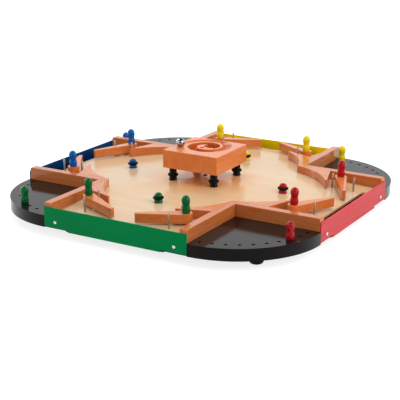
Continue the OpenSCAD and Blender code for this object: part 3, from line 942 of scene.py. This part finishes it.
class PINBALL_OT_block(bpy.types.Operator):
    """The centre block with its spiral track, on four black legs with rubber rings"""

    bl_idname = "pinball.block"
    bl_label = "Centre block"

    def execute(self, context):
        sizes = context.scene.pinball_sizes
        block = merged_copy("centre_block", "centre_block_wood")
        round_outer_edges(block, sizes.block_arris)
        smooth(block)
        level(block)
        # Painted light: the block gets a lighter copy of the beech, with painted shade inside its track
        grain = beech(
            "beech block", math.radians(90), seed=17, tone=1.1, ring_share=0.12, hollow_shade=TRACK_SHADE)
        finish_piece(block, "table", grain, "centre_block")
        groove = sizes.ring_inside / 2 / MM
        leg_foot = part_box("block_legs")[0].z + DOWEL_LENGTH * MM
        top = (BLOCK_BOTTOM - leg_foot) / MM
        leg = turned("leg", DOWEL + [
            (8.2, 0), (8.6, 0.4), (8.6, 2.3), (8.4, 3), (7.9, 4.2), (7.8, 5.6), (7.95, 7.2), (8.3, 7.9),
            (8.2, 8.4), (7.7, 8.55), (groove, 8.55), (groove, 14.25), (7.2, 14.25), (7.7, 14.6),
            (7.8, 15.2), (7.8, top - 0.5), (7.4, top), (4, top), (4, top + 11.6),
        ], sizes.turned_segments)
        band = rubber_ring(sizes)
        for i, place in enumerate(at_corners(LEG_PLACE, leg_foot)):
            set_down(leg, f"block_leg_{i + 1}", place, "table",
                     finish("lacquer black"), "block_legs")
            ring_place = place @ Matrix.Translation((0, 0, RING_ON_LEG))
            set_down(band, f"leg_ring_{i + 1}", ring_place, "table",
                     finish("rubber"), "leg_rings")
        put_away(leg)
        put_away(band)
        return {"FINISHED"}


def round_outer_edges(block, width):
    """Bevels the block's twelve outer edges and leaves the track's edges crisp."""
    low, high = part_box("centre_block")
    mesh = block.data
    weights = mesh.attributes.new("bevel_weight_edge", "FLOAT", "EDGE")
    for line in mesh.edges:
        ends = [mesh.vertices[v].co for v in line.vertices]
        outer_faces = sum(
            all(min(abs(end[axis] - low[axis]), abs(end[axis] - high[axis])) < WELD for end in ends)
            for axis in range(3))
        weights.data[line.index].value = 1.0 if outer_faces >= 2 else 0.0
    only(block)
    bevel = block.modifiers.new("Rounded edges", "BEVEL")
    bevel.width = width
    bevel.segments = 3
    bevel.limit_method = "WEIGHT"
    bpy.ops.object.modifier_apply(modifier=bevel.name)


class PINBALL_OT_centre_screw(bpy.types.Operator):
    """The cup washer and dark screw at the middle of the playing board"""

    bl_idname = "pinball.centre_screw"
    bl_label = "Middle screw"

    def execute(self, context):
        place = Matrix.Translation((0, 0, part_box("cup_washer")[0].z))
        cup = turned("cup", [
            (8.3, 0), (8.5, 0.2), (8.5, 0.55), (8.1, 0.9), (7.1, 1.7), (6.5, 2.1), (5.9, 2.2), (4.7, 2.2)])
        set_down(cup, "cup_washer_turned", place, "table", finish("nylon"), "cup_washer")
        shank = [(0.6, -24), (2.25, -21), (2.25, 1.5), (4.6, 2.15)]
        screw = turned("screw", shank + dome(4.7, 2.2, 2.2, range(0, 84, 12)), 36)
        cut_cross(screw, top=4.4, span=5.0, width=1.1, depth=1.6)
        smooth(screw)
        set_down(screw, "centre_screw_turned", place, "table", finish("oxide"), "centre_screw")
        put_away(cup)
        put_away(screw)
        return {"FINISHED"}


class PINBALL_OT_ball(bpy.types.Operator):
    """The polished steel ball at the start of the spiral track"""

    bl_idname = "pinball.ball"
    bl_label = "Ball"

    def execute(self, context):
        low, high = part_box("ball")
        radius = (high.z - low.z) / 2
        only()
        bpy.ops.mesh.primitive_cube_add(size=2 * radius)
        ball = context.object
        edit(ball)
        bpy.ops.mesh.subdivide(number_cuts=31)
        leave()
        for vertex in ball.data.vertices:
            vertex.co = vertex.co.normalized() * radius
        smooth(ball, 60)
        set_down(ball, "steel_ball", Matrix.Translation((low + high) / 2), "ball",
                 finish("ball"), "ball")
        put_away(ball)
        return {"FINISHED"}


# Floor, lamps and camera

class PINBALL_OT_stage(bpy.types.Operator):
    """The pale floor, the soft lamps and the camera at the photograph's place"""

    bl_idname = "pinball.stage"
    bl_label = "Floor, light and camera"

    def execute(self, context):
        stage = context.scene.pinball_stage
        lay_floor(stage.floor, stage.floor_glow)
        surroundings(stage.sky)
        overhead = lamp(
            "Overhead softbox", place=(-0.25, 0.55, 1.9), target=(0, 0, 0), size=2.4, watts=stage.key_power)
        overhead.visible_glossy = False
        lamp("Right softbox", place=(1.9, -0.1, 1.15), target=(0, 0, 0.05), size=1.5, watts=stage.side_power)
        lamp("Front softbox", place=(-0.6, -2.2, 1.2), target=(0, 0, 0.05), size=1.6, watts=stage.front_power)
        mirrored_card(
            "dark_screen", place=(1.4, -2.9, 1.1), target=(0, 0, 0.1), size=(5.0, 2.2), strength=0.01)
        mirrored_card(
            "dark_ceiling", place=(0, 0.2, 2.4), target=(0, 0.2, 0), size=(5.0, 4.6), strength=0.01)
        mirrored_card(
            "bright_strip", place=(-1.1, 0, 1.1), target=(0, 0, 0.1), size=(0.35, 1.9), strength=6.0)
        data = bpy.data.cameras.new("Camera")
        data.lens = stage.lens
        data.sensor_width = 36
        camera = bpy.data.objects.new("Camera", data)
        context.scene.collection.objects.link(camera)
        camera.location = stage.camera_place
        upright = facing(stage.camera_place, stage.camera_aim).to_matrix()
        camera.rotation_euler = (upright @ Matrix.Rotation(stage.camera_roll, 3, "Z")).to_euler()
        context.scene.camera = camera
        context.scene.view_settings.view_transform = "Standard"
        return {"FINISHED"}


def facing(place, target):
    """The turn of a camera, lamp or card at a place that looks at a target."""
    return (Vector(target) - Vector(place)).to_track_quat("-Z", "Y")


def lamp(name, place, target, size, watts):
    """A square soft lamp."""
    data = bpy.data.lights.new(name, "AREA")
    data.shape = "SQUARE"
    data.size = size
    data.energy = watts
    made = bpy.data.objects.new(name, data)
    bpy.context.scene.collection.objects.link(made)
    made.location = place
    made.rotation_euler = facing(place, target).to_euler()
    return made


def mirrored_card(name, place, target, size, strength):
    """A card outside the picture that lights nothing: only the glossy surfaces mirror it."""
    only()
    bpy.ops.mesh.primitive_plane_add(size=1, location=place)
    card = bpy.context.object
    card.name = name
    card.scale = (*size, 1)
    card.rotation_euler = facing(place, target).to_euler()
    card.visible_camera = False
    card.visible_diffuse = False
    card.visible_transmission = False
    card.visible_shadow = False
    glow = Shader(
        name, Base_Color=grey(0), Roughness=1.0, Specular_IOR_Level=0.0,
        Emission_Color=grey(1), Emission_Strength=strength)
    card.data.materials.append(glow.material)


def seen_directly(nodes):
    """1 for camera, glossy and transmission rays, which see the white studio."""
    rays = nodes.node("ShaderNodeLightPath").outputs
    seen_or_mirrored = nodes.combine("MAXIMUM", rays["Is Camera Ray"], rays["Is Glossy Ray"])
    return nodes.combine("MAXIMUM", seen_or_mirrored, rays["Is Transmission Ray"])


def lay_floor(tone, glow):
    """A pale floor just below the feet that looks white where it is lit and keeps the game's shadow."""
    only()
    bpy.ops.mesh.primitive_plane_add(size=14, location=(0, 0, -0.4 * MM))
    floor = bpy.context.object
    floor.name = "floor"
    made = Shader(
        "floor", Base_Color=grey(tone), Roughness=0.9, Specular_IOR_Level=0.1, Emission_Color=grey(1))
    made.feed(made.surface["Emission Strength"], made.combine("MULTIPLY", seen_directly(made), glow))
    floor.data.materials.append(made.material)


def surroundings(strength):
    """White where it is seen or mirrored, and a plain soft light on everything else."""
    world = bpy.data.worlds.new("studio")
    bpy.context.scene.world = world
    world.use_nodes = True
    nodes = Nodes(world.node_tree)
    background = world.node_tree.nodes["Background"].inputs
    background["Color"].default_value = grey(1)
    nodes.feed(background["Strength"], nodes.band(seen_directly(nodes), 0.0, 1.0, strength, 1.0))


# The game's panel, and what the add-on registers

PIECES = [
    PINBALL_OT_base, PINBALL_OT_playfield, PINBALL_OT_panels, PINBALL_OT_rails, PINBALL_OT_wedges,
    PINBALL_OT_flippers, PINBALL_OT_stop_pins, PINBALL_OT_pegs, PINBALL_OT_bumpers,
    PINBALL_OT_block, PINBALL_OT_centre_screw, PINBALL_OT_ball, PINBALL_OT_stage,
]
GROUPS = {"pinball_sizes": PinballSizes, "pinball_looks": PinballLooks, "pinball_stage": PinballStage}


class PINBALL_PT_panel(bpy.types.Panel):
    """Lists the game's pieces in the 3D view's sidebar"""

    bl_idname = "PINBALL_PT_panel"
    bl_label = "Tabletop pinball game"
    bl_space_type = "VIEW_3D"
    bl_region_type = "UI"
    bl_category = "Pinball"

    def draw(self, context):
        column = self.layout.column()
        for name, group in GROUPS.items():
            for setting in group.__annotations__:
                column.prop(getattr(context.scene, name), setting)
        for piece in PIECES:
            column.operator(piece.bl_idname)


def register():
    for made in (*GROUPS.values(), *PIECES, PINBALL_PT_panel):
        bpy.utils.register_class(made)
    for name, group in GROUPS.items():
        setattr(bpy.types.Scene, name, PointerProperty(type=group))


def unregister():
    for name in GROUPS:
        delattr(bpy.types.Scene, name)
    for made in (PINBALL_PT_panel, *reversed(PIECES), *GROUPS.values()):
        bpy.utils.unregister_class(made)


def main():
    register()
    bpy.ops.pinball.base()
    bpy.ops.pinball.playfield()
    bpy.ops.pinball.panels()
    bpy.ops.pinball.rails()
    bpy.ops.pinball.wedges()
    bpy.ops.pinball.flippers()
    bpy.ops.pinball.stop_pins()
    bpy.ops.pinball.pegs()
    bpy.ops.pinball.bumpers()
    bpy.ops.pinball.block()
    bpy.ops.pinball.centre_screw()
    bpy.ops.pinball.ball()
    bpy.ops.pinball.stage()


if __name__ == "__main__":
    main()
